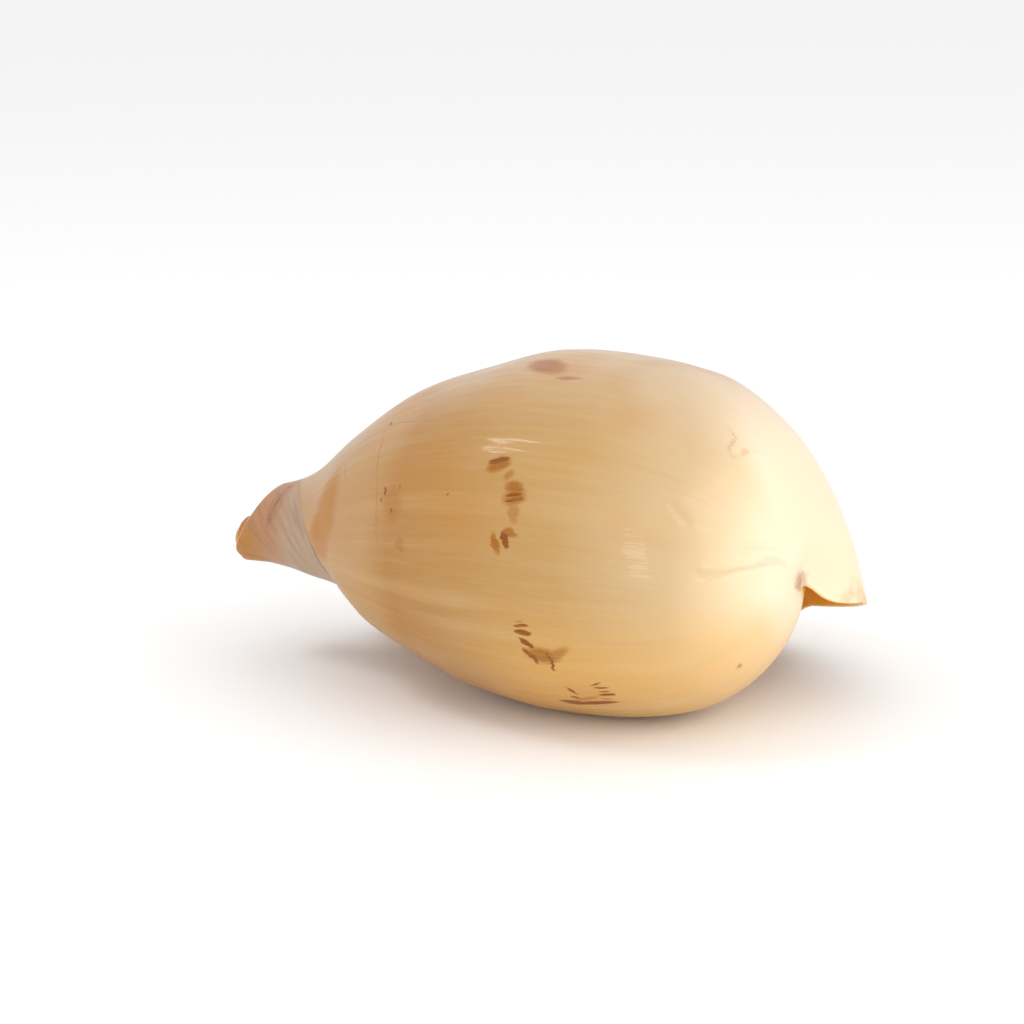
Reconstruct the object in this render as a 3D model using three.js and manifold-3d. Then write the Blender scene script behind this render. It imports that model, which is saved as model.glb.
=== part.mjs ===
// A melon shell (Melo volute) lying on its mouth: a large, thin, swollen body whorl with a low hood over the
// apex, a narrow front end with a notched rim, and a twisted, folded columella inside a very wide mouth.
// Millimetres, +Z up. X runs along the shell's coiling axis with the apex toward +X.
import * as THREE from "three";
import { LoftGeometry } from "three/addons/geometries/LoftGeometry.js";
import { mergeVertices } from "three/addons/utils/BufferGeometryUtils.js";
import Module from "manifold-3d";

// Coiling. Turns are counted back from the outer lip, so the lip is turn 0 and older shell is negative.
const lipRadius = 87; // widest radius of the last whorl at the lip
const growthPerTurn = 2.25; // the radius grows by this in one turn
const lipDirection = 202; // degrees round the axis at the lip's shoulder: 0 near side, 90 top, 180 far side
const innermostTurn = -2.3; // the sheet starts here, deep inside

// Lengths along the axis, measured from the apex.
const tipLength = 205.7; // apex to the end of the columella
const rimLength = 201.2; // apex to the front rim of the sheet
const hoodLength = 22.1; // how far the lip's shoulder stands behind the apex
const hoodGrowth = 20.8; // the hood grows by this in one turn
const dimpleRadius = 17.2; // radius of the hollow round the apex at the lip
const notchDepth = 12.8; // how far the front notch is cut back
const notchTurn = -0.28; // where the notch is deepest
const notchSpan = 0.242; // how widely it spreads toward older shell, in turns
const notchLipSpan = 0.14; // and toward the lip
const canalFlare = 4; // the lip stands off the columella by this much more at the front
const frontSag = 3.1; // the front end bends down by this

// Outline of a whorl: a rounded back part, then radii at stations toward the front rim.
const widestAt = 0.416; // share of the length at which the whorl is widest
const backFullness = 2.87; // powers of the rounded back outline
const backSquareness = 1.5;
const backFullnessGain = 0.85; // older shell is fuller behind
const frontStations = [0, 0.25, 0.45, 0.62, 0.76, 0.88, 1];
const frontRadii = [1, 0.909, 0.759, 0.554, 0.333, 0.253, 0.212];
const olderReach = 0.27; // the outline of older shell is shorter by this share in a turn
const innerReach = 0.62; // length of the innermost whorls' swelling, as a share of the last whorl's

// Sheet and columella.
const wall = 2.6; // wall of the shell
const lipWall = 1.5; // wall at the growing edge
const apexWall = 3; // thickness on the axis at the apex
const pillarRadius = 8; // columella
const pillarTipRadius = 6.9;
const foldCount = 4; // oblique folds on the columella
const foldRadius = 3.2;
const foldSpacing = 13;
const foldStart = 92; // where the rearmost fold meets the mouth, from the apex
const foldRise = 30; // advance toward the front in a quarter turn

// Resting position.
const pitch = -0.3; // degrees by which the front end is raised
const seatHeight = 45.2; // axis above the table at the apex
const lipTrim = 0.8; // the lip's edge is worn flat by this much
const liftLength = 152; // toward the front the lip leaves the table from here, measured from the apex
const frontHang = 16; // and ends this many degrees below the level of the axis
const frontCorner = 0.06; // turn by which the lip's front corner is rounded off

// Fineness of the faceted surface.
const turnStep = 1 / 30;
const innerTurnStep = 1 / 20;
const outlinePoints = 24;

const radians = THREE.MathUtils.degToRad;
const smooth = THREE.MathUtils.smoothstep;

// Smooth curve through the front stations.
function frontRadius(share) {
  let i = 0;
  while (i < frontStations.length - 2 && share > frontStations[i + 1]) i += 1;
  const slope = (k) => {
    if (k === 0) return 0;
    const rise = (n) => (frontRadii[n + 1] - frontRadii[n]) / (frontStations[n + 1] - frontStations[n]);
    if (k === frontStations.length - 1) return rise(k - 1);
    return (rise(k - 1) + rise(k)) / 2;
  };
  const width = frontStations[i + 1] - frontStations[i];
  const x = (share - frontStations[i]) / width;
  const y = 1 - x;
  return (
    y * y * (1 + 2 * x) * frontRadii[i] +
    x * y * y * width * slope(i) +
    x * x * (3 - 2 * x) * frontRadii[i + 1] -
    x * x * y * width * slope(i + 1)
  );
}

// Outer surface: place along the outline (0 at the apex, 1 at the front rim) and turn, to length and radius.
function outer(along, turn) {
  const size = growthPerTurn ** turn;
  const hood = hoodLength * hoodGrowth ** turn;
  const spread = turn < notchTurn ? notchSpan : notchLipSpan;
  const rim = rimLength - notchDepth * Math.exp(-(((turn - notchTurn) / spread) ** 2));
  const length = (rim + hood) * along ** 1.6 - hood;
  const reach = (1 - (1 - innerReach) * smooth(-turn, 0.74, 1.2)) * (1 + olderReach * (turn + 0.4));
  const share = (length + hood) / (rimLength * reach + hood);
  const fullness = backFullness - backFullnessGain * turn;
  const outline =
    share < widestAt
      ? (1 - (1 - share / widestAt) ** fullness) ** (1 / backSquareness)
      : frontRadius(Math.min((share - widestAt) / (1 - widestAt), 1));
  const whorl = lipRadius * size * outline;
  const core = pillarRadius * 0.9 * smooth(length, 17, 70);
  const flare = canalFlare * smooth(turn, -0.3, 0) * smooth(length, 140, 200);
  const open = (whorl ** 4 + core ** 4) ** 0.25 + flare;
  const wrap = smooth(length, rim - 30, rim - 3.5) * smooth(-turn, 0.45, 0.72);
  const radius = open + (pillarTipRadius + 0.7 - open) * wrap;
  const dimple = hood * Math.exp(-((radius / (dimpleRadius * size ** 0.52)) ** 2));
  return { length: length + dimple, radius };
}

// The front end bends down a little.
function sag(length) {
  return frontSag * smooth(length, 90, tipLength);
}

// A point at a length along the axis, a radius and a turn, laid in the resting position.
function place(length, radius, turn) {
  const angle = radians(lipDirection + 360 * turn);
  const height = radius * Math.sin(angle) - sag(length);
  const point = new THREE.Vector3(-length, -radius * Math.cos(angle), height);
  return point.applyAxisAngle(new THREE.Vector3(0, 1, 0), radians(pitch));
}

// The lip ends in the table's plane along the mouth's far side, so the turn at which it stops varies.
function lipTurn(along) {
  let turn = 0;
  for (let pass = 0; pass < 5; pass += 1) {
    const { length, radius } = outer(along, turn);
    const drop = seatHeight + lipTrim + length * Math.sin(radians(pitch)) - sag(length);
    const level = THREE.MathUtils.radToDeg(Math.asin(Math.min(drop / radius, 0.8)));
    const hang = level + (frontHang - level) * smooth(length, liftLength, 204);
    turn = ((hang - (lipDirection - 180)) / 360) * smooth(length, 20, 52);
  }
  return turn - frontCorner * smooth(along, 0.84, 1) ** 2;
}

// The closed cross-section of the sheet in the half plane at one turn.
function section(turn) {
  const turnAt = typeof turn === "function" ? turn : () => turn;
  const outside = [];
  const inside = [];
  for (let i = 0; i <= outlinePoints; i += 1) {
    const along = i / outlinePoints;
    const t = turnAt(along);
    const here = outer(along, t);
    const before = outer(Math.max(along - 0.01, 0), t);
    const after = outer(Math.min(along + 0.01, 1), t);
    const run = new THREE.Vector2(after.length - before.length, after.radius - before.radius).normalize();
    const edge = lipWall + (wall - lipWall) * smooth(-t, -0.02, 0.12);
    const solid = smooth(here.length, 95, 160) * smooth(-t, 0.3, 0.75);
    const depth = edge + solid * Math.max(here.radius * 0.75 - edge, 0);
    outside.push(place(here.length, here.radius, t));
    if (i === 0) {
      inside.push(place(apexWall, 0, t));
    } else {
      const length = here.length + depth * run.y;
      const radius = Math.max(here.radius - depth * run.x, 1.2);
      inside.push(place(length, radius, t));
    }
  }
  return [...inside, ...outside.reverse()];
}

// A closed solid from a geometry whose touching corners are merged and empty triangles dropped.
const wasm = await Module();
wasm.setup();

function solid(loft) {
  const bare = new THREE.BufferGeometry().copy(loft);
  bare.deleteAttribute("normal");
  bare.deleteAttribute("uv");
  const merged = mergeVertices(bare, 1e-3);
  const corners = [];
  for (let i = 0; i < merged.index.count; i += 3) {
    const [a, b, c] = [0, 1, 2].map((k) => merged.index.getX(i + k));
    if (a !== b && b !== c && c !== a) corners.push(a, b, c);
  }
  return new wasm.Manifold(
    new wasm.Mesh({
      numProp: 3,
      vertProperties: new Float32Array(merged.attributes.position.array),
      triVerts: new Uint32Array(corners),
    }),
  );
}

// One stretch of the spiral sheet between two turns; the newest stretch ends at the lip. It starts one section
// early, so that it shares the older stretch's last facets instead of only touching its end.
function stretch(from, to, step, olderStep) {
  const count = Math.round((to - from) / step);
  const sections = olderStep > 0 ? [section(from - olderStep)] : [];
  for (let i = 0; i <= count; i += 1) {
    const share = i / count;
    if (to === 0) sections.push(section((along) => from + (lipTurn(along) - from) * share));
    else sections.push(section(from + (to - from) * share));
  }
  return solid(new LoftGeometry(sections, { capStart: true, capEnd: true }));
}

// The columella: a tapering pillar on the axis with a rounded front end.
function pillar() {
  const profile = [
    [8, 0],
    [9, 3],
    [30, pillarRadius],
    [70, pillarRadius],
    [150, pillarRadius * 0.85],
    [tipLength - 20, pillarTipRadius],
  ];
  for (let i = 0; i <= 5; i += 1) {
    const bend = (i / 5) * (Math.PI / 2);
    profile.push([
      tipLength - pillarTipRadius * (1 - Math.sin(bend)),
      i === 5 ? 0 : pillarTipRadius * Math.cos(bend),
    ]);
  }
  const sides = 24;
  const rings = profile.map(([length, radius]) => {
    const ring = [];
    for (let k = 0; k < sides; k += 1) ring.push(place(length, radius, k / sides));
    return ring;
  });
  return solid(new LoftGeometry(rings));
}

// One raised fold winding round the columella, sinking into it at both ends.
function fold(order) {
  const rings = [];
  const steps = 14;
  for (let i = 0; i <= steps; i += 1) {
    const share = i / steps;
    const turn = -1.28 + 0.5 * share;
    const length = foldStart + order * foldSpacing + foldRise * 4 * (turn + 1);
    const bed = outer(((length + 1) / (rimLength + 1)) ** (1 / 1.6), turn);
    const swell = Math.sin(Math.PI * share);
    const size = foldRadius * (0.3 + 0.7 * swell);
    const middle = bed.radius - 0.8 - 2.6 * (1 - swell);
    const ring = [];
    for (let k = 0; k < 8; k += 1) {
      const bend = (k / 8) * Math.PI * 2;
      ring.push(place(bed.length + size * 1.4 * Math.cos(bend), middle + size * Math.sin(bend), turn));
    }
    rings.push(ring);
  }
  return solid(new LoftGeometry(rings, { capStart: true, capEnd: true }));
}

let shell = stretch(-0.5, 0, turnStep, turnStep)
  .add(stretch(-1, -0.5, turnStep, innerTurnStep))
  .add(stretch(-1.5, -1, innerTurnStep, innerTurnStep))
  .add(stretch(-2, -1.5, innerTurnStep, innerTurnStep))
  .add(stretch(innermostTurn, -2, innerTurnStep, 0))
  .add(pillar());
for (let order = 0; order < foldCount; order += 1) shell = shell.add(fold(order));

// Tiny hollows sealed in where whorls and columella touch are filled: only the outermost surface is kept.
shell = shell.decompose().reduce((most, body) => (body.volume() > most.volume() ? body : most));

// Belly and lip are worn flat where they lie on the table.
const table = new THREE.BoxGeometry(400, 400, 20).translate(-90, 0, -seatHeight - 10);
shell = shell.subtract(solid(table));

const { vertProperties, triVerts, numProp } = shell.getMesh();
const geometry = new THREE.BufferGeometry();
const positions = new Float32Array((vertProperties.length / numProp) * 3);
for (let i = 0; i < positions.length / 3; i += 1) {
  for (let k = 0; k < 3; k += 1) positions[i * 3 + k] = vertProperties[i * numProp + k];
}
geometry.setAttribute("position", new THREE.BufferAttribute(positions, 3));
geometry.setIndex(new THREE.BufferAttribute(triVerts, 1));
geometry.computeVertexNormals();
geometry.computeBoundingBox();

const cream = new THREE.MeshStandardMaterial({ color: "#e3c391", roughness: 0.35, metalness: 0 });
const mesh = new THREE.Mesh(geometry, cream);
mesh.name = "shell";
const box = geometry.boundingBox;
mesh.position.set(-(box.min.x + box.max.x) / 2, -(box.min.y + box.max.y) / 2, -box.min.z);

const part = new THREE.Group();
part.add(mesh);
export default part;
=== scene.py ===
import math
import bpy
import numpy as np
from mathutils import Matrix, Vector


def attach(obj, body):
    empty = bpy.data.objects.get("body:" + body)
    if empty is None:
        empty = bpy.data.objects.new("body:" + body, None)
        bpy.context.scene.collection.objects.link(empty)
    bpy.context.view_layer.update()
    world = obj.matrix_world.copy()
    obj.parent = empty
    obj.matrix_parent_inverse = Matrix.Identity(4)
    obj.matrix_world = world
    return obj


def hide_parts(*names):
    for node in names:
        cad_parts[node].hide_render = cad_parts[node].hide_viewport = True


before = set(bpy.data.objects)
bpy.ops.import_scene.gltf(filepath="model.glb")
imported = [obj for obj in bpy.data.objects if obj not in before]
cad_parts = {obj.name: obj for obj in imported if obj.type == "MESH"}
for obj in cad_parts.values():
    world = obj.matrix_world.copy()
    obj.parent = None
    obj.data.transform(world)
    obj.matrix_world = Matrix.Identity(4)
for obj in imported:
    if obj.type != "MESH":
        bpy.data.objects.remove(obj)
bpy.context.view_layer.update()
print("frame loaded")


# The shell coils round an axis. A place on it has an age, the degrees of growth back from the outer lip, and
# an along, from 0 at the apex to 1 at the front rim. Its reach is its length along the axis from the apex, in
# millimetres. A turn is a whole round of growth, 0 at the lip and negative before it. Pairs named Turns count
# back from the lip, and a pair in falling order is where something fades out.
shellForm = {
    "apex": (96.22, -13.92, 45.2),
    "lipRadius": 87, "growthPerTurn": 2.25, "lipDirection": 202, "crowding": 1.6,
    "tipLength": 205.7, "rimLength": 201.2,
    "hoodLength": 22.1, "hoodGrowth": 20.8, "dimpleRadius": 17.2, "dimpleGrowth": 0.52,
    "notchDepth": 12.8, "notchTurn": -0.28, "notchSpan": 0.242, "notchLipSpan": 0.14,
    "canalFlare": 4, "flareReach": (140, 200), "flareTurns": (0.3, 0),
    "pitch": -0.3, "frontSag": 3.1, "sagReach": 90,
    "widestAt": 0.416, "backFullness": 2.87, "backSquareness": 1.5, "backFullnessGain": 0.85,
    "frontStations": (0, 0.25, 0.45, 0.62, 0.76, 0.88, 1),
    "frontRadii": (1, 0.909, 0.759, 0.554, 0.333, 0.253, 0.212),
    "olderExtent": 0.27, "fullExtentTurn": -0.4,  # older whorls end farther back
    "innerExtent": 0.62, "innerTurns": (0.74, 1.2),
    "wrapTurns": (0.45, 0.72), "wrapBehindRim": (30, 3.5), "wrapGap": 0.7,  # the rim closes on the columella
    "coreShare": 0.9, "coreReach": (17, 70),
    "wall": 2.6, "lipWall": 1.4, "lipWallTurns": (-0.02, 0.12), "apexWall": 3, "innerLeast": 1.2,
    "solidReach": (95, 160), "solidTurns": (0.3, 0.75), "solidShare": 0.75,  # older whorls thicken in front
    "edgeBulge": 0.8, "edgeLimit": 1.6,
    "seatHeight": 45.2, "lipTrim": 0.8, "lipReach": (20, 52), "lipSteepest": 0.8,
    "liftReach": (152, 204), "frontHang": 16, "frontCorner": 0.06, "cornerAlong": 0.84,
    "hoodEdge": (  # worn wave of the lip beside the apex: along, turns
        (0, 0), (0.012, -0.05), (0.02, -0.08), (0.028, -0.045), (0.036, -0.008), (0.044, 0.016),
        (0.056, 0.019), (0.077, 0.009), (0.1, 0),
    ),
    "pillarRadius": 8, "pillarTipRadius": 6.9,
    "pillarStart": (9, 3), "pillarWaist": (30, 70), "pillarNeck": (150, 0.85), "pillarTipRun": 20,
    "stretches": ((-2.3, -1.3, 6), (-1.3, -0.85, 3), (-0.85, -0.2, 1), (-0.2, 0, 2)),  # turns, coarseness
    "rows": 190,
    "lastStretch": 0.5,  # turns that are shifted so that the sheet ends at the lip
}

# Relief on the outer surface. Paths are (age, along) pairs; widths and heights in millimetres.
shellRelief = {
    "folds": {
        "count": 4, "start": 92, "spacing": 13, "rise": 120, "height": 2.4, "width": 3.4,
        "firstTurns": (0.78, 0.9), "lastTurns": (1.3, 1.18),
    },
    "openFrom": (8, 40), "openUntil": (175, 150),  # the reach between the apex and the fasciole
    "apexRadius": (0.5, 5),
    "growthWaves": {"height": 0.05, "ages": (5, 11, 24), "slant": 0.03},
    "swells": {"height": 0.35, "size": 34},
    "creases": (
        {"width": 1.0, "height": -0.7,
         "path": ((183, 0.245), (180, 0.2), (176, 0.167), (168, 0.12), (158, 0.084))},
        {"width": 1.3, "height": 0.7,
         "path": ((180, 0.245), (177, 0.2), (173, 0.167), (165, 0.12), (156, 0.084))},
        {"width": 1.1, "height": 0.6, "path": ((166, 0.176), (161, 0.145), (156, 0.12))},
        {"width": 0.9, "height": -0.5, "path": ((164, 0.180), (159, 0.148), (154, 0.122))},
        {"width": 1.0, "height": -0.7, "path": ((114, 0.981), (140, 0.979), (163, 0.973))},
        {"width": 1.1, "height": -0.6, "path": ((160, 0.316), (162, 0.3), (164, 0.286))},
        {"width": 0.9, "height": -0.8,
         "path": ((118.6, 0.3), (120.7, 0.281), (127, 0.279), (129, 0.264), (124, 0.252))},
        {"width": 1.0, "height": 0.7, "path": ((123, 0.25), (119, 0.238), (116, 0.226))},
    ),
    "fascioleStep": {  # path of (age, reach)
        "path": ((100, 182), (108, 181), (170, 169), (192, 162.6), (215, 155), (260, 146)),
        "height": 0.9, "slope": (-0.6, 1.2), "firstAges": (120, 180), "lastAges": (300, 250),
    },
}


# 0 at low and 1 at high, smooth between. It falls where low is above high.
def smoothStep(x, low, high):
    share = np.clip((x - low) / (high - low), 0, 1)
    return share * share * (3 - 2 * share)


# A smooth curve through the radii in front of the widest place.
def frontRadius(share, form=shellForm):
    stations = np.array(form["frontStations"], float)
    radii = np.array(form["frontRadii"], float)
    rise = np.diff(radii) / np.diff(stations)
    slope = np.concatenate([[0], (rise[:-1] + rise[1:]) / 2, rise[-1:]])
    i = np.clip(np.searchsorted(stations, share) - 1, 0, len(stations) - 2)
    width = stations[i + 1] - stations[i]
    x = (share - stations[i]) / width
    y = 1 - x
    held = y * y * (1 + 2 * x) * radii[i] + x * x * (3 - 2 * x) * radii[i + 1]
    return held + x * y * y * width * slope[i] - x * x * y * width * slope[i + 1]


# The length and the radius of the outer surface.
def outerSurface(along, turn, form=shellForm):
    size = form["growthPerTurn"] ** turn
    hood = form["hoodLength"] * form["hoodGrowth"] ** turn
    spread = np.where(turn < form["notchTurn"], form["notchSpan"], form["notchLipSpan"])
    rim = form["rimLength"] - form["notchDepth"] * np.exp(-(((turn - form["notchTurn"]) / spread) ** 2))
    length = (rim + hood) * along ** form["crowding"] - hood
    inner = 1 - (1 - form["innerExtent"]) * smoothStep(-turn, *form["innerTurns"])
    extent = inner * (1 + form["olderExtent"] * (turn - form["fullExtentTurn"]))
    share = (length + hood) / (form["rimLength"] * extent + hood)
    fullness = form["backFullness"] - form["backFullnessGain"] * turn
    behind = 1 - np.minimum(share / form["widestAt"], 1)
    back = (1 - behind ** fullness) ** (1 / form["backSquareness"])
    front = frontRadius(np.clip((share - form["widestAt"]) / (1 - form["widestAt"]), 0, 1))
    whorl = form["lipRadius"] * size * np.where(share < form["widestAt"], back, front)
    core = form["pillarRadius"] * form["coreShare"] * smoothStep(length, *form["coreReach"])
    flare = form["canalFlare"] * smoothStep(-turn, *form["flareTurns"])
    flare = flare * smoothStep(length, *form["flareReach"])
    opened = (whorl**4 + core**4) ** 0.25 + flare
    wrap = smoothStep(rim - length, *form["wrapBehindRim"]) * smoothStep(-turn, *form["wrapTurns"])
    radius = opened + (form["pillarTipRadius"] + form["wrapGap"] - opened) * wrap
    dimple = hood * np.exp(-((radius / (form["dimpleRadius"] * size ** form["dimpleGrowth"])) ** 2))
    return length + dimple, radius


def sagAt(length, form=shellForm):
    return form["frontSag"] * smoothStep(length, form["sagReach"], form["tipLength"])


# A point in the frame, still in millimetres.
def place(length, radius, turn, form=shellForm):
    angle = np.radians(form["lipDirection"] + 360 * turn)
    tilt = math.radians(form["pitch"])
    height = radius * np.sin(angle) - sagAt(length)
    x = -length * math.cos(tilt) + height * math.sin(tilt)
    z = length * math.sin(tilt) + height * math.cos(tilt)
    return np.stack(np.broadcast_arrays(x, -radius * np.cos(angle), z), -1) + np.array(form["apex"])


# The turn at which the lip stops: level with the table, then lifting toward the front.
def lipTurn(along, form=shellForm, rounds=5):
    turn = np.zeros_like(along)
    slope = math.sin(math.radians(form["pitch"]))
    for _ in range(rounds):
        length, radius = outerSurface(along, turn)
        drop = form["seatHeight"] + form["lipTrim"] + length * slope - sagAt(length)
        steepness = np.minimum(drop / np.maximum(radius, 1e-6), form["lipSteepest"])
        level = np.degrees(np.arcsin(steepness))
        hang = level + (form["frontHang"] - level) * smoothStep(length, *form["liftReach"])
        turn = (hang - (form["lipDirection"] - 180)) / 360 * smoothStep(length, *form["lipReach"])
    places, wear = np.array(form["hoodEdge"]).T
    corner = form["frontCorner"] * smoothStep(along, form["cornerAlong"], 1) ** 2
    return turn + np.interp(along, places, wear) - corner


# Smooth waves of a given size over a number or over points, the same at each run.
def waves(values, size, seed, count=7):
    values = np.asarray(values, float)
    chance = np.random.default_rng(seed)
    total = np.zeros(values.shape if values.ndim < 3 else values.shape[:-1])
    for _ in range(count):
        step = chance.uniform(0.6, 1.5) * 2 * math.pi / size
        phase = chance.uniform(0, 2 * math.pi)
        if values.ndim < 3:
            total = total + np.sin(values * step + phase)
        else:
            way = chance.normal(size=3)
            total = total + np.sin(values @ (way / np.linalg.norm(way)) * step + phase)
    return total / count**0.5


def distanceTo(points, path):
    nearest = np.full(points.shape[:-1], 1e9)
    for start, end in zip(path[:-1], path[1:]):
        run = end - start
        share = np.clip((points - start) @ run / (run @ run), 0, 1)
        nearest = np.minimum(nearest, np.linalg.norm(points - start - share[..., None] * run, axis=-1))
    return nearest


def pathPoints(path):
    ages, alongs = np.array(path, float).T
    turns = -ages / 360
    return place(*outerSurface(alongs, turns), turns)


# Millimetres by which the outer surface stands out at each point.
def reliefAt(points, length, turn, relief=shellRelief):
    age = -360 * turn
    height = np.zeros_like(length)
    folds = relief["folds"]
    older = smoothStep(-turn, *folds["firstTurns"]) * smoothStep(-turn, *folds["lastTurns"])
    for order in range(folds["count"]):
        ridge = folds["start"] + order * folds["spacing"] + folds["rise"] * (turn + 1)
        height += folds["height"] * older * np.exp(-(((length - ridge) / folds["width"]) ** 2))
    middle = smoothStep(length, *relief["openFrom"]) * smoothStep(length, *relief["openUntil"])
    lines = relief["growthWaves"]
    for seed, size in enumerate(lines["ages"]):
        height += lines["height"] * middle * waves(age + length * lines["slant"], size, seed + 3)
    swells = relief["swells"]
    height += swells["height"] * middle * waves(points, swells["size"], 11)
    for crease in relief["creases"]:
        far = distanceTo(points, pathPoints(crease["path"]))
        height += crease["height"] * np.exp(-((far / crease["width"]) ** 2)) * (turn > -1)
    step = relief["fascioleStep"]
    ages, lengths = np.array(step["path"], float).T
    border = np.interp(age, ages, lengths)
    shown = smoothStep(age, *step["firstAges"]) * smoothStep(age, *step["lastAges"])
    height -= step["height"] * shown * smoothStep(length - border, *step["slope"])
    return height


# The sheet is one closed surface: outer face, inner face at half the fineness, and a rounded edge between.
def buildSheet(form=shellForm, relief=shellRelief):
    columns = [form["stretches"][0][0]]
    for start, end, step in form["stretches"]:
        count = 2 * max(1, round((end - start) * 180 / step))
        columns += [start + (end - start) * (i + 1) / count for i in range(count)]
    rows = form["rows"]
    along, base = np.meshgrid(np.linspace(0, 1, rows + 1), np.array(columns), indexing="ij")
    last = form["lastStretch"]
    newest = np.clip((base + last) / last, 0, 1)
    turn = np.where(base > -last, -last + newest * (lipTurn(along) + last), base)
    length, radius = outerSurface(along, turn)
    smoothFace = place(length, radius, turn)

    downSheet = np.gradient(smoothFace, axis=0)
    newer = np.gradient(smoothFace, axis=1)
    normal = np.cross(newer, downSheet)
    normal /= np.maximum(np.linalg.norm(normal, axis=-1, keepdims=True), 1e-9)
    outward = ((smoothFace - place(length, radius * 0, turn)) * normal).sum(-1)
    if np.median(outward) < 0:
        normal = -normal
    height = reliefAt(smoothFace, length, turn, relief) * smoothStep(radius, *relief["apexRadius"])
    outerFace = smoothFace + normal * height[..., None]

    near = 0.01
    before, after = np.maximum(along - near, 0), np.minimum(along + near, 1)
    lengthBefore, radiusBefore = outerSurface(before, turn)
    lengthAfter, radiusAfter = outerSurface(after, turn)
    run = np.stack([lengthAfter - lengthBefore, radiusAfter - radiusBefore])
    run /= np.linalg.norm(run, axis=0)
    edge = form["lipWall"] + (form["wall"] - form["lipWall"]) * smoothStep(-turn, *form["lipWallTurns"])
    solid = smoothStep(length, *form["solidReach"]) * smoothStep(-turn, *form["solidTurns"])
    depth = edge + solid * np.maximum(radius * form["solidShare"] - edge, 0)
    innerLength = length + depth * run[1]
    innerRadius = np.maximum(radius - depth * run[0], form["innerLeast"])
    innerLength[0], innerRadius[0] = form["apexWall"], 0
    innerFace = place(innerLength, innerRadius, turn)

    lastRow, lastColumn = rows, len(columns) - 1
    loop = [(0, lastColumn)] + [(i, lastColumn) for i in range(1, lastRow + 1)]
    loop += [(lastRow, j) for j in range(lastColumn - 1, -1, -1)]
    loop += [(i, 0) for i in range(lastRow - 1, 0, -1)]
    down = downSheet / np.maximum(np.linalg.norm(downSheet, axis=-1, keepdims=True), 1e-9)
    grow = newer / np.maximum(np.linalg.norm(newer, axis=-1, keepdims=True), 1e-9)

    points, ages, reaches, insides = [], [], [], []

    def addPoint(point, i, j, inside):
        points.append(point)
        ages.append(-360 * turn[i, j])
        reaches.append(length[i, j])
        insides.append(inside)
        return len(points) - 1

    outerIndex = np.zeros(along.shape, int)
    innerIndex = np.zeros(along.shape, int)
    outerIndex[0] = addPoint(outerFace[0, 0], 0, lastColumn, 0)
    innerIndex[0] = addPoint(innerFace[0, 0], 0, lastColumn, 1)
    for i in range(1, rows + 1):
        for j in range(lastColumn + 1):
            outerIndex[i, j] = addPoint(outerFace[i, j], i, j, 0)
    for i in range(2, rows + 1, 2):
        for j in range(0, lastColumn + 1, 2):
            innerIndex[i, j] = addPoint(innerFace[i, j], i, j, 1)

    faces = []

    def addFace(*corners):
        kept = [c for k, c in enumerate(corners) if c != corners[k - 1]]
        if len(kept) > 2:
            faces.append(kept)

    for i in range(rows):
        for j in range(lastColumn):
            addFace(outerIndex[i, j], outerIndex[i + 1, j], outerIndex[i + 1, j + 1], outerIndex[i, j + 1])
    for i in range(0, rows, 2):
        for j in range(0, lastColumn, 2):
            addFace(innerIndex[i, j], innerIndex[i, j + 2], innerIndex[i + 2, j + 2], innerIndex[i + 2, j])

    rings = [[outerIndex[i, j] for i, j in loop]]
    for bend in (45, 90, 135):
        ring = []
        for i, j in loop:
            out = np.zeros(3)
            if i > 0 and j == lastColumn:
                out += grow[i, j]
            if i > 0 and j == 0:
                out -= grow[i, j]
            if i == lastRow:
                out += down[i, j]
            out /= max(np.linalg.norm(out), 1e-9)
            half = (outerFace[i, j] - innerFace[i, j]) / 2
            middle = (outerFace[i, j] + innerFace[i, j]) / 2
            turned = math.radians(bend)
            bulge = min(np.linalg.norm(half), form["edgeLimit"]) * form["edgeBulge"]
            point = middle + half * math.cos(turned) + out * bulge * math.sin(turned)
            ring.append(addPoint(point, i, j, 0.5))
        rings.append(ring)
    count = len(loop)
    for inner, outer in zip(rings[:-1], rings[1:]):
        for k in range(count):
            addFace(inner[k - 1], inner[k], outer[k], outer[k - 1])
    innerRing = [innerIndex[i, j] for i, j in loop]
    for k in range(0, count, 2):
        ahead = (k + 2) % count
        addFace(rings[-1][k], rings[-1][k + 1], rings[-1][ahead], innerRing[ahead], innerRing[k])
    return points, faces, ages, reaches, insides


# The columella: a tapering pillar on the axis with a rounded front end.
def buildPillar(form=shellForm, sides=48, tipSteps=8):
    tip, tipRadius, radius = form["tipLength"], form["pillarTipRadius"], form["pillarRadius"]
    neck, neckShare = form["pillarNeck"]
    profile = [form["pillarStart"]] + [(length, radius) for length in form["pillarWaist"]]
    profile += [(neck, radius * neckShare), (tip - form["pillarTipRun"], tipRadius)]
    least = 0.05
    for i in range(tipSteps + 1):
        bend = i / tipSteps * math.pi / 2
        profile.append((tip - tipRadius * (1 - math.sin(bend)), max(tipRadius * math.cos(bend), least)))
    points, faces, ages, reaches, insides = [], [], [], [], []
    for length, ringRadius in profile:
        for k in range(sides):
            points.append(place(np.float64(length), np.float64(ringRadius), k / sides))
            ages.append(360 + 360 / sides * k)
            reaches.append(length)
            insides.append(0)
    for ring in range(len(profile) - 1):
        for k in range(sides):
            a, b = ring * sides + k, ring * sides + (k + 1) % sides
            faces.append([a, b, b + sides, a + sides])
    faces.append(list(range(sides))[::-1])
    faces.append([(len(profile) - 1) * sides + k for k in range(sides)])
    return points, faces, ages, reaches, insides


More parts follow.
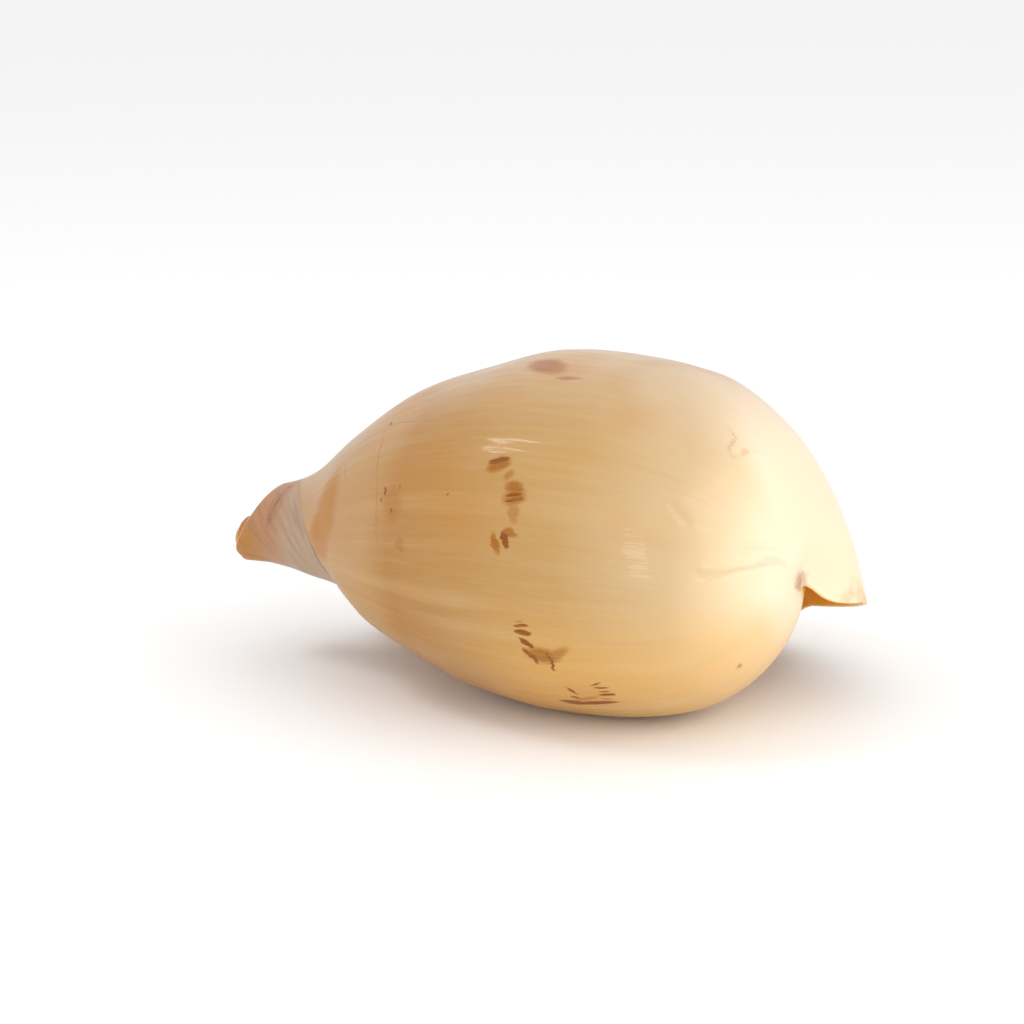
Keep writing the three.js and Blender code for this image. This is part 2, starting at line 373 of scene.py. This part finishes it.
def makeShell():
    points, faces, ages, reaches, insides = buildSheet()
    more = buildPillar()
    faces += [[c + len(points) for c in face] for face in more[1]]
    points = np.array(points + more[0])
    points[:, 2] = np.maximum(points[:, 2], 0)
    mesh = bpy.data.meshes.new("melonShell")
    mesh.from_pydata((points / 1000).tolist(), [], [[int(c) for c in face] for face in faces])
    fields = {"age": ages + more[2], "reach": reaches + more[3], "inside": insides + more[4]}
    for name, values in fields.items():
        mesh.attributes.new(name, "FLOAT", "POINT").data.foreach_set("value", np.array(values, np.float32))
    mesh.shade_smooth()
    shell = bpy.data.objects.new("melonShell", mesh)
    bpy.context.scene.collection.objects.link(shell)
    return shell


shell = makeShell()
print("shell made:", len(shell.data.polygons), "faces")


# A value in a material that can be worked with like a number. make() adds any other node.
class Wire:
    def __init__(self, tree, socket=None):
        self.tree = tree
        self.socket = socket

    def make(self, kind, settings=None, values=None, output=0):
        node = self.tree.nodes.new(kind)
        for name, value in (settings or {}).items():
            if name == "stops":
                ramp = node.color_ramp
                while len(ramp.elements) < len(value):
                    ramp.elements.new(1)
                for element, (position, colour) in zip(ramp.elements, value):
                    element.position = position
                    element.color = colour
            else:
                setattr(node, name, value)
        for name, value in (values or {}).items():
            if isinstance(value, Wire):
                self.tree.links.new(value.socket, node.inputs[name])
            else:
                node.inputs[name].default_value = value
        return Wire(self.tree, node.outputs[output] if node.outputs else None)

    def math(self, operation, first, second):
        return self.make("ShaderNodeMath", {"operation": operation}, {0: first, 1: second})

    def __add__(self, other):
        return self.math("ADD", self, other)

    def __radd__(self, other):
        return self.math("ADD", other, self)

    def __sub__(self, other):
        return self.math("SUBTRACT", self, other)

    def __rsub__(self, other):
        return self.math("SUBTRACT", other, self)

    def __mul__(self, other):
        return self.math("MULTIPLY", self, other)

    def __rmul__(self, other):
        return self.math("MULTIPLY", other, self)

    def __truediv__(self, other):
        return self.math("DIVIDE", self, other)

    def __rtruediv__(self, other):
        return self.math("DIVIDE", other, self)

    # 0 at low and top at high, smooth between. It falls where low is above high.
    def rise(self, low, high, top=1.0):
        values = {"Value": self, "From Min": low, "From Max": high, "To Max": top}
        return self.make("ShaderNodeMapRange", {"interpolation_type": "SMOOTHSTEP"}, values)

    def attribute(self, name):
        return self.make("ShaderNodeAttribute", {"attribute_name": name}, None, 2)

    def vector(self, operation, first, second, output=0):
        return self.make("ShaderNodeVectorMath", {"operation": operation}, {0: first, 1: second}, output)

    def join(self, x, y, z=0.0):
        return self.make("ShaderNodeCombineXYZ", None, {"X": x, "Y": y, "Z": z})

    def noise(self, vector, scale=1.0, detail=1.0):
        return self.make("ShaderNodeTexNoise", None, {"Vector": vector, "Scale": scale, "Detail": detail})

    def blend(self, first, second, factor):  # colours
        return self.make("ShaderNodeMix", {"data_type": "RGBA"}, {0: factor, 6: first, 7: second}, 2)


def paint(red, green, blue):  # a colour as a screen shows it, 0 to 255, turned into what the material needs
    return tuple(((c / 255 + 0.055) / 1.055) ** 2.4 for c in (red, green, blue)) + (1,)


shellPaint = {
    "alongShell": (  # colour by distance from the apex, in millimetres
        (-24, paint(248, 217, 184)),
        (2, paint(247, 221, 190)),
        (8, paint(236, 212, 174)),
        (14, paint(224, 197, 155)),
        (26, paint(204, 174, 130)),
        (58, paint(190, 150, 94)),
        (95, paint(181, 136, 76)),
        (121, paint(174, 122, 56)),
        (132, paint(184, 138, 78)),
        (160, paint(188, 144, 90)),
    ),
    "cream": paint(214, 182, 130),
    "orange": paint(190, 124, 44),
    "lowYellow": paint(226, 172, 84),
    # a painted grey sheen of reflected light along the top
    "paintedTopSheen": paint(206, 182, 156),
    "mauve": paint(176, 148, 122),
    "rimPink": paint(177, 130, 95),
    "tipOrange": paint(180, 124, 60),
    "crescent": paint(176, 116, 34),
    "inside": paint(255, 198, 84),
    "ochre": paint(158, 95, 0),
    "brown": paint(132, 66, 0),
    # faded marks, and painted shade along the creases beside the apex
    "fadedAndCreaseShade": paint(164, 106, 70),
    "peach": paint(232, 164, 112),
    "crumb": paint(150, 100, 80),
    # dark fibre streaks of the fasciole, and painted shade along its step and creases
    "streakAndShadeLine": paint(132, 96, 78),
    "fascioleBorder": 201,  # its reach at the lip
    "fascioleSlope": 0.19,  # and how much less for each degree of age
    "roughness": 0.36, "specular": 0.22,
    "coat": 0.06, "coatThreads": 0.45, "coatRoughness": 0.07,
    "insideRoughness": 0.2, "scatter": 0.8, "scatterDepth": 0.004,
    "ridges": 0.000025,  # metres
}

# Marks: soft ovals from one (age, reach) to another. Half is half their width, in degrees or millimetres.
markShape = {"centre": (190, 75), "fullness": 1.15, "edge": (2.4, 0.3), "grain": 1.2, "raggedness": 2.4}
shellMarks = (
    {"start": (117, 80.5), "end": (115, 86), "half": 3.2, "tone": 0.9, "kind": "fadedAndCreaseShade"},
    {"start": (121.8, 69.8), "end": (122.2, 75), "half": 0.75, "tone": 0.7, "kind": "fadedAndCreaseShade"},
    {"start": (156.8, 83.8), "end": (155.6, 80.4), "half": 1.6, "tone": 1, "kind": "ochre"},
    {"start": (155.7, 85), "end": (154.5, 80), "half": 0.65, "tone": 1, "kind": "brown"},
    {"start": (159.6, 78.2), "end": (158.6, 77.2), "half": 0.85, "tone": 0.6, "kind": "ochre"},
    {"start": (162.7, 76.2), "end": (162.9, 73.4), "half": 1.45, "tone": 1, "kind": "ochre"},
    {"start": (166.2, 75.4), "end": (165.4, 72.8), "half": 1.9, "tone": 0.85, "kind": "ochre"},
    {"start": (165.5, 76.2), "end": (164.5, 72.3), "half": 0.4, "tone": 1, "kind": "brown"},
    {"start": (166.9, 76), "end": (166, 71.7), "half": 0.45, "tone": 1, "kind": "brown"},
    {"start": (168, 73.8), "end": (171.6, 73.2), "half": 1.45, "tone": 0.55, "kind": "ochre"},
    {"start": (175.8, 74.9), "end": (176.6, 72.4), "half": 0.85, "tone": 0.9, "kind": "ochre"},
    {"start": (177.4, 75.2), "end": (179.6, 74.8), "half": 1.05, "tone": 1, "kind": "brown"},
    {"start": (178.3, 79.2), "end": (181.7, 77.8), "half": 0.9, "tone": 1, "kind": "ochre"},
    {"start": (204.3, 71.7), "end": (204.2, 69.8), "half": 0.25, "tone": 0.6, "kind": "ochre"},
    {"start": (206, 71.8), "end": (205.4, 68.6), "half": 0.45, "tone": 0.9, "kind": "brown"},
    {"start": (208.2, 71.6), "end": (208.4, 68.5), "half": 0.8, "tone": 1, "kind": "brown"},
    {"start": (211.4, 70.8), "end": (213.2, 68), "half": 0.75, "tone": 0.9, "kind": "brown"},
    {"start": (215.6, 70), "end": (219.2, 67.4), "half": 0.75, "tone": 0.8, "kind": "brown"},
    {"start": (216.6, 67), "end": (216.5, 62), "half": 2.3, "tone": 0.9, "kind": "ochre"},
    {"start": (218.6, 63), "end": (214, 57.5), "half": 1.3, "tone": 0.7, "kind": "ochre"},
    {"start": (215.6, 62.5), "end": (221.8, 62.1), "half": 0.4, "tone": 1, "kind": "brown"},
    {"start": (232, 60), "end": (235.7, 58.2), "half": 0.45, "tone": 0.7, "kind": "brown"},
    {"start": (237.8, 60.2), "end": (239.1, 58.2), "half": 0.5, "tone": 0.6, "kind": "brown"},
    {"start": (243, 63.4), "end": (243.8, 58.6), "half": 1.2, "tone": 1, "kind": "brown"},
    {"start": (243.6, 58), "end": (242, 48.2), "half": 1.05, "tone": 1, "kind": "brown"},
    {"start": (241, 59), "end": (238, 52.6), "half": 0.9, "tone": 0.5, "kind": "ochre"},
    {"start": (229.6, 51), "end": (228.2, 48.3), "half": 0.35, "tone": 0.7, "kind": "brown"},
    {"start": (231, 50), "end": (231, 46.8), "half": 0.4, "tone": 0.9, "kind": "brown"},
    {"start": (233.9, 49.5), "end": (233.6, 46.9), "half": 0.35, "tone": 0.9, "kind": "brown"},
    {"start": (236, 49.5), "end": (235.7, 45.9), "half": 0.55, "tone": 1, "kind": "brown"},
    {"start": (239, 50), "end": (239.2, 47.8), "half": 0.45, "tone": 0.6, "kind": "ochre"},
    {"start": (166, 121.5), "end": (171, 119.5), "half": 2.75, "tone": 0.35, "kind": "ochre"},
    {"start": (162.4, 124.8), "end": (164.4, 124.3), "half": 0.45, "tone": 0.7, "kind": "brown"},
    {"start": (165.7, 125.9), "end": (167, 125.6), "half": 0.4, "tone": 0.6, "kind": "brown"},
    {"start": (170.4, 120.4), "end": (171.4, 120.1), "half": 0.5, "tone": 0.6, "kind": "brown"},
    {"start": (161.8, 118.2), "end": (163.2, 117.9), "half": 0.4, "tone": 0.4, "kind": "brown"},
    {"start": (181.6, 115.7), "end": (184, 115), "half": 1.15, "tone": 0.35, "kind": "ochre"},
    {"start": (165.7, 98.5), "end": (166, 98.3), "half": 0.3, "tone": 0.6, "kind": "brown"},
    {"start": (129, 135.5), "end": (130.5, 134.8), "half": 0.4, "tone": 0.8, "kind": "brown"},
    {"start": (131, 133), "end": (136.7, 116.7), "half": 0.2, "tone": 0.5, "kind": "fadedAndCreaseShade"},
    {"start": (135, 135.7), "end": (158, 129.9), "half": 0.2, "tone": 0.6, "kind": "fadedAndCreaseShade"},
    {"start": (158, 129.9), "end": (182, 125.4), "half": 0.2, "tone": 0.6, "kind": "fadedAndCreaseShade"},
    {"start": (143.5, 153.6), "end": (155, 155.2), "half": 2, "tone": 0.6, "kind": "crescent"},
    {"start": (151, 155), "end": (168, 156), "half": 4, "tone": 0.9, "kind": "crescent"},
    {"start": (163, 156), "end": (181, 158.5), "half": 5, "tone": 0.95, "kind": "crescent"},
    {"start": (176, 159), "end": (192, 158), "half": 3.4, "tone": 0.9, "kind": "crescent"},
    {"start": (140, 150.5), "end": (152, 146.5), "half": 0.25, "tone": 0.5, "kind": "fadedAndCreaseShade"},
    # Painted shade along the creases near the front rim
    {"start": (112, 183), "end": (162, 186), "half": 1.7, "tone": 0.3, "kind": "streakAndShadeLine"},
    {"start": (112, 184.2), "end": (163.3, 186.9), "half": 0.25, "tone": 0.9, "kind": "streakAndShadeLine"},
    {"start": (128, 187), "end": (161, 187.4), "half": 0.2, "tone": 0.6, "kind": "streakAndShadeLine"},
    {"start": (110, 181.5), "end": (140, 183.6), "half": 0.2, "tone": 0.5, "kind": "streakAndShadeLine"},
    # Painted shade along the creases beside the apex
    {"start": (183, 13), "end": (173, 4.6), "half": 0.7, "tone": 0.13, "kind": "fadedAndCreaseShade"},
    {"start": (173, 4.6), "end": (160, 0.6), "half": 0.8, "tone": 0.13, "kind": "fadedAndCreaseShade"},
    {"start": (118.7, 19.8), "end": (120.8, 17.4), "half": 0.15, "tone": 0.25, "kind": "fadedAndCreaseShade"},
    {"start": (120.8, 17.4), "end": (127, 17.3), "half": 0.2, "tone": 0.25, "kind": "fadedAndCreaseShade"},
    {"start": (127, 17.3), "end": (129, 15.6), "half": 0.15, "tone": 0.25, "kind": "fadedAndCreaseShade"},
)


# How strongly an oval mark shows. The spot is (age, reach, 1) counted from the marks' centre, and squares are
# its products.
def ovalMask(wire, spot, squares, mark, shape):
    first = np.array(mark["start"]) - shape["centre"]
    last = np.array(mark["end"]) - shape["centre"]
    middle = (first + last) / 2
    span = np.linalg.norm(last - first)
    run = (last - first) / span
    lengthwise = run / (span / 2 + mark["half"])
    crosswise = np.array((-run[1], run[0])) / (mark["half"] * shape["fullness"])
    oval = np.outer(lengthwise, lengthwise) + np.outer(crosswise, crosswise)
    pull = oval @ middle
    curved = wire.vector("DOT_PRODUCT", squares, (oval[0, 0], 2 * oval[0, 1], oval[1, 1]), 1)
    slanted = wire.vector("DOT_PRODUCT", spot, (-2 * pull[0], -2 * pull[1], middle @ pull), 1)
    return (curved + slanted).rise(*shape["edge"], mark["tone"])


# Round stained spots at an (age, along) place, lifted by a few millimetres where they lie off the surface.
spotShape = {"raggedness": 1.6, "heart": 0.3, "speckle": 0.5}  # as shares of a spot's size and strength
shellSpots = (
    {"at": (0, 0.004), "lift": (2.2, 0.4, 1.6), "size": 5.6, "tone": 0.9, "kind": "crumb"},
    {"at": (4, 0.105), "lift": (0, 0, 0), "size": 9, "tone": 0.8, "kind": "peach"},
    {"at": (2, 0.115), "lift": (0, 0, -1), "size": 4.5, "tone": 0.6, "kind": "crumb"},
    {"at": (0, 0.07), "lift": (0, 0, -1), "size": 5, "tone": 0.45, "kind": "peach"},
    {"at": (123, 0.252), "lift": (0, 0, 0), "size": 2.2, "tone": 0.8, "kind": "peach"},
    {"at": (241.5, 0.183), "lift": (0, 0, 0), "size": 2.4, "tone": 0.8, "kind": "ochre"},
)


# Everything that the colours and the gloss are worked out from.
def surfaceFields(wire):
    age = wire.attribute("age")
    reach = wire.attribute("reach")
    where = wire.make("ShaderNodeTexCoord", None, None, 3)
    lump = wire.noise(where, 22) - 0.5
    growth = age + lump * 4 + reach * 0.02
    return {
        "age": age,
        "reach": reach,
        "inside": wire.attribute("inside"),
        "where": where,
        "lump": lump,
        "fineLump": wire.noise(where, 260, 2) - 0.5,
        "bands": wire.noise(wire.join(growth / 11, reach / 130, 3.1)),
        "streaks": wire.noise(wire.join(growth / 2.2, reach / 50, 7.7), 1, 2),
        "threads": wire.noise(wire.join(growth * 1.7, reach / 14, 1.3), 1, 2),
        "clouds": wire.noise(wire.join(age / 40, reach / 40, 5.5)),
    }


# Ivory at the apex to tan, with a painted grey sheen of reflected light on top, yellower low down, with
# growth bands.
def bodyColour(wire, at, look):
    age, reach, streaks = at["age"], at["reach"], at["streaks"]
    nearest = look["alongShell"][0][0]
    span = 200
    stops = [((millimetres - nearest) / span, colour) for millimetres, colour in look["alongShell"]]
    distance = reach + at["lump"] * 9 - age.rise(138, 98, 20)
    base = wire.make("ShaderNodeValToRGB", {"stops": stops}, {"Fac": (distance - nearest) / span})
    low = age.rise(185, 225)
    bands = at["bands"].rise(0.48, 0.66, 0.45) * (0.25 + 0.75 * low)
    # painted grey sheen of reflected light along the top of the shell
    base = wire.blend(base, look["paintedTopSheen"], age.rise(150, 105, 0.6) * reach.rise(5, 30))
    base = wire.blend(base, look["lowYellow"], low * reach.rise(-2, 5) * reach.rise(105, 60, 0.5))
    base = wire.blend(base, look["cream"], bands * reach.rise(5, 20))
    base = wire.blend(base, look["orange"], at["clouds"].rise(0.5, 0.7, 0.4) * reach.rise(10, 50))
    base = wire.blend(base, look["cream"], streaks.rise(0.52, 0.78, 0.12) * reach.rise(5, 30))
    return wire.blend(base, look["orange"], streaks.rise(0.46, 0.25, 0.08) * reach.rise(5, 30))


# The fasciole at the front: mauve to pink and orange, streaked, with a line of painted shadow along its step.
def frontColour(wire, at, look, base, past, fasciole):
    age, reach = at["age"], at["reach"]
    fibres = wire.noise(wire.join(age / 45, past / 2.4, 4.2), 1, 2)
    base = wire.blend(base, look["mauve"], past.rise(-75, -6, 0.4) * age.rise(210, 170))
    front = wire.blend(look["mauve"], look["rimPink"], reach.rise(178, 187))
    front = wire.blend(front, look["tipOrange"], reach.rise(188, 196) * age.rise(150, 185))
    front = wire.blend(front, look["streakAndShadeLine"], fibres.rise(0.45, 0.7, 0.3))
    base = wire.blend(base, front, fasciole)
    # a thin line of painted shadow along the fasciole step
    step = past.rise(-1.2, -0.1) * past.rise(2.2, 0.2) * age.rise(90, 120)
    return wire.blend(base, look["streakAndShadeLine"], step * (0.15 + age.rise(165, 200, 0.55)))


# The broken brown marks with their ochre edges, the orange crescent, the stains and the thin dark lines, some
# painted crease shade.
def markedColour(wire, at, look, base, marks, shape=markShape):
    age, reach = at["age"], at["reach"]
    grain = at["fineLump"] * shape["grain"]
    ragged = (wire.noise(wire.join(age * 1.1, reach / 6, 2.7)) - 0.5) * shape["raggedness"]
    across = age + grain - shape["centre"][0]
    forward = reach + grain + ragged - shape["centre"][1]
    spot = wire.join(across, forward, 1.0)
    squares = wire.vector("MULTIPLY", wire.join(across, across, forward), wire.join(across, forward, forward))
    masks = {}
    for mark in marks:
        kind = mark["kind"]
        mask = ovalMask(wire, spot, squares, mark, shape)
        masks[kind] = wire.math("MAXIMUM", masks[kind], mask) if kind in masks else mask
    breaks = at["threads"].rise(0.36, 0.52)
    halo = masks["brown"].rise(0.05, 0.6)  # ochre shows round the brown
    masks["ochre"] = wire.math("MAXIMUM", masks["ochre"], halo)
    for kind in ("fadedAndCreaseShade", "crescent", "streakAndShadeLine", "ochre"):
        base = wire.blend(base, look[kind], masks[kind] * (0.8 + 0.2 * breaks))
    return wire.blend(base, look["brown"], masks["brown"].rise(0.35, 0.95) * (0.4 + 0.6 * breaks))


# The worn and crumbly places at the hood's tip and the apex, and two small stains.
def stainedColour(wire, at, look, base, spots, shape=spotShape):
    uneven = (at["fineLump"] + at["lump"]) * shape["raggedness"]
    speckle = 1 - shape["speckle"] + at["fineLump"].rise(-0.12, 0.1, shape["speckle"])
    for stain in spots:
        centre = pathPoints([stain["at"]])[0] + np.array(stain["lift"])
        size = stain["size"] / 1000
        far = wire.vector("DISTANCE", at["where"], tuple(centre / 1000), 1) + uneven * size
        mask = far.rise(size, size * shape["heart"], stain["tone"])
        base = wire.blend(base, look[stain["kind"]], mask * speckle)
    return base


def shellMaterial(look=shellPaint, marks=shellMarks, spots=shellSpots):
    material = bpy.data.materials.new("polishedShell")
    material.use_nodes = True
    tree = material.node_tree
    tree.nodes.clear()
    wire = Wire(tree)
    at = surfaceFields(wire)
    age, reach, lump = at["age"], at["reach"], at["lump"]

    border = look["fascioleBorder"] - look["fascioleSlope"] * age
    past = reach - border + lump * 1.5
    fasciole = past.rise(-0.6, 0.8) * age.rise(60, 90)
    base = bodyColour(wire, at, look)
    base = frontColour(wire, at, look, base, past, fasciole)
    base = markedColour(wire, at, look, base, marks)
    base = stainedColour(wire, at, look, base, spots)

    ribbed = reach.rise(4, 30) * reach.rise(150, 90)  # growth ridges show here
    height = (at["threads"] - 0.5) * ribbed + (at["streaks"] - 0.5) * ribbed * 0.5 + at["fineLump"] * 0.8
    bump = wire.make("ShaderNodeBump", None, {"Strength": 1, "Distance": look["ridges"], "Height": height})
    polish = look["coat"] + at["threads"].rise(0.48, 0.58, look["coatThreads"]) * (0.3 + ribbed * 0.7)
    outer = wire.make("ShaderNodeBsdfPrincipled", None, {
        "Base Color": base,
        "Roughness": look["roughness"] + lump * 0.12 + fasciole * 0.08,
        "Normal": bump,
        "Specular IOR Level": look["specular"],
        "Coat Weight": polish,
        "Coat Roughness": look["coatRoughness"],
    })
    lining = wire.blend(look["inside"], look["cream"], at["streaks"].rise(0.5, 0.8, 0.35))
    inner = wire.make("ShaderNodeBsdfPrincipled", {"subsurface_method": "RANDOM_WALK"}, {
        "Base Color": lining,
        "Roughness": look["insideRoughness"] + at["clouds"] * 0.15,
        "Subsurface Weight": look["scatter"],
        "Subsurface Radius": (1.0, 0.5, 0.15),
        "Subsurface Scale": look["scatterDepth"],
    })
    covered = age.rise(350, 372) * reach.rise(190, 176)  # an older whorl inside the mouth
    within = wire.math("MAXIMUM", at["inside"], covered)
    shader = wire.make("ShaderNodeMixShader", None, {0: within, 1: outer, 2: inner})
    wire.make("ShaderNodeOutputMaterial", None, {"Surface": shader})
    return material


shell.data.materials.append(shellMaterial())
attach(shell, "root")
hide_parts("shell")
print("shell painted")


# A wide pale table top, with soft light from the right, a soft box at the left and a strip by the camera.
studio = {
    "floorColour": (0.97, 0.97, 0.97, 1),
    "floorRoughness": 0.7,
    "floorReach": 12,
    "surround": 0.92,
    "aim": (0.04, 0, 0.05),
    "lights": (
        {"name": "keyLight", "at": (1.1, -0.1, 0.55), "size": (0.9, 0.9), "watts": 5},
        {"name": "leftSoftBox", "at": (-0.66, -0.29, 1.06), "size": (0.32, 0.32), "watts": 2.2},
        {"name": "frontStrip", "at": (0.42, -1.18, 0.38), "size": (0.24, 0.6), "watts": 1.4},
    ),
}


def makeStudio(look=studio):
    side = look["floorReach"]
    corners = [(-side, -side, 0), (side, -side, 0), (side, side, 0), (-side, side, 0)]
    mesh = bpy.data.meshes.new("tableTop")
    mesh.from_pydata(corners, [], [(0, 1, 2, 3)])
    floor = bpy.data.objects.new("tableTop", mesh)
    bpy.context.scene.collection.objects.link(floor)
    material = bpy.data.materials.new("paleTable")
    material.use_nodes = True
    shader = material.node_tree.nodes["Principled BSDF"]
    shader.inputs["Base Color"].default_value = look["floorColour"]
    shader.inputs["Roughness"].default_value = look["floorRoughness"]
    mesh.materials.append(material)
    world = bpy.data.worlds.new("studioWorld")
    world.use_nodes = True
    world.node_tree.nodes["Background"].inputs["Color"].default_value = (1, 1, 1, 1)
    world.node_tree.nodes["Background"].inputs["Strength"].default_value = look["surround"]
    bpy.context.scene.world = world
    for lamp in look["lights"]:
        light = bpy.data.lights.new(lamp["name"], "AREA")
        light.shape = "RECTANGLE"
        light.size, light.size_y = lamp["size"]
        light.energy = lamp["watts"]
        panel = bpy.data.objects.new(lamp["name"], light)
        panel.location = lamp["at"]
        toShell = Vector(look["aim"]) - panel.location
        panel.rotation_euler = toShell.to_track_quat("-Z", "Y").to_euler()
        bpy.context.scene.collection.objects.link(panel)


makeStudio()
print("table and lights set")

# Degrees round and above the shell, metres from its apex, and millimetres of lens.
camera = {
    "azimuth": 21.08, "elevation": 17.24, "distance": 0.8427,
    "lens": 93.65, "sensor": 36, "shiftX": -0.279, "shiftY": 0.075,
}


def makeCamera(look=camera):
    around, above = math.radians(look["azimuth"]), math.radians(look["elevation"])
    level = math.cos(above)
    back = Vector((math.sin(around) * level, -math.cos(around) * level, math.sin(above)))
    data = bpy.data.cameras.new("photoCamera")
    data.lens = look["lens"]
    data.sensor_width = look["sensor"]
    data.sensor_fit = "HORIZONTAL"
    data.shift_x = look["shiftX"]
    data.shift_y = look["shiftY"]
    viewer = bpy.data.objects.new("photoCamera", data)
    viewer.location = Vector(shellForm["apex"]) / 1000 + back * look["distance"]
    viewer.rotation_euler = (-back).to_track_quat("-Z", "Y").to_euler()
    bpy.context.scene.collection.objects.link(viewer)
    bpy.context.scene.camera = viewer


makeCamera()
bpy.context.scene.view_settings.view_transform = "Standard"
print("camera set")
